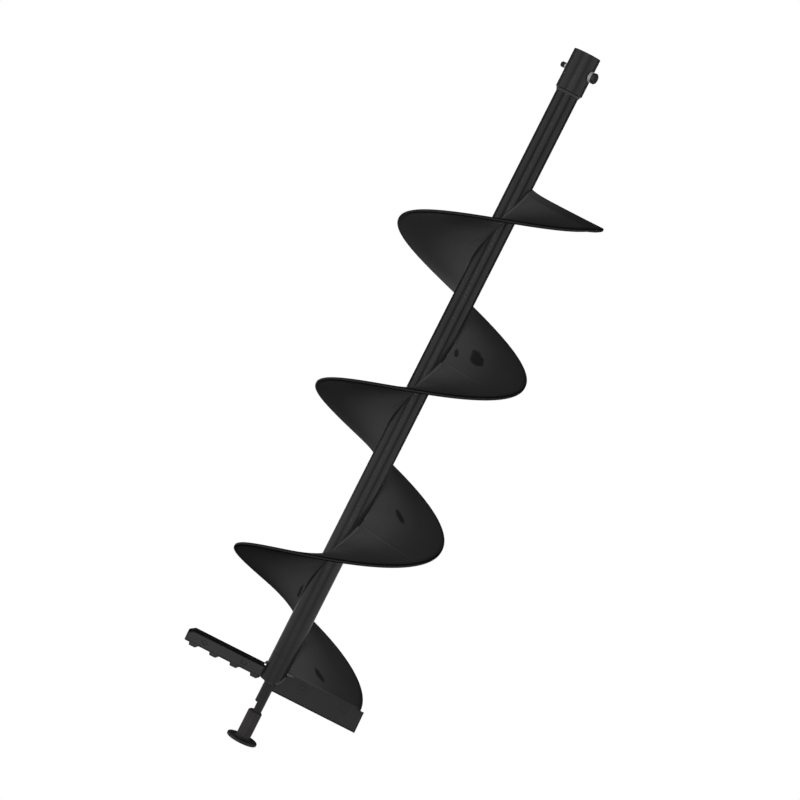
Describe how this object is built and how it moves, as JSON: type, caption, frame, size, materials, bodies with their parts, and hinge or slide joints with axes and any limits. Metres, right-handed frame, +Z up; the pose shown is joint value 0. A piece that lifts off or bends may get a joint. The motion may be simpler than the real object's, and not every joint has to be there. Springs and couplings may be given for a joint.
{
  "type": "soil auger bit",
  "caption": "Black steel earth auger bit: drive socket with cross bolt, tubular stem, helical flight, a plain and a toothed cutting blade, and a swivelling pilot foot.",
  "frame": {"origin": "centre of the drive socket's mouth, on the auger's axis", "axes": "+Z up along the auger's axis, out of the socket towards the drive; +X along the plain cutting blade"},
  "size_m": [0.203, 0.196, 0.8],
  "materials": {
    "black_paint": "semi-gloss black paint",
    "flight_paint": "satin black paint, darker towards the rim",
    "blade_paint": "satin black paint on hardened steel",
    "weld_black": "painted weld bead",
    "screw_black": "painted-over screws and bolt",
    "zinc": "zinc-plated hardware with paint on its outer faces",
    "sleeve_brown": "oiled dark brown steel sleeve",
    "foot_black": "dark steel with a rubbed rim"
  },
  "bodies": {
    "auger": {"drive_socket": "black_paint", "socket_weld": "weld_black", "stem_tube": "black_paint", "flight_upper": "flight_paint", "flight_middle": "flight_paint", "flight_lower": "flight_paint", "flight_root_welds": "weld_black", "hub_plug": "black_paint", "plain_blade_holder": "blade_paint", "toothed_blade_holder": "blade_paint", "plain_blade": "blade_paint", "toothed_blade": "blade_paint", "plain_blade_screws": "screw_black", "toothed_blade_screws": "screw_black", "holder_weld": "weld_black", "pilot_rod": "black_paint", "pilot_weld": "weld_black", "foot_washer": "zinc", "foot_screw": "zinc"},
    "bolt": {"cross_bolt": "screw_black", "cross_bolt_washer": "zinc", "cross_bolt_spring_washer": "zinc"},
    "foot": {"pilot_sleeve": "sleeve_brown", "pilot_foot": "foot_black"}
  },
  "joints": [
    {"name": "cross_bolt_draw", "type": "slide", "parent": "auger", "child": "bolt", "axis": [0.8829, -0.4695, 0], "range_m": [0, 0.042]},
    {"name": "foot_turn", "type": "hinge", "parent": "auger", "child": "foot", "pos_m": [0, 0, -0.78], "axis": [0, 0, 1], "continuous": true}
  ]
}
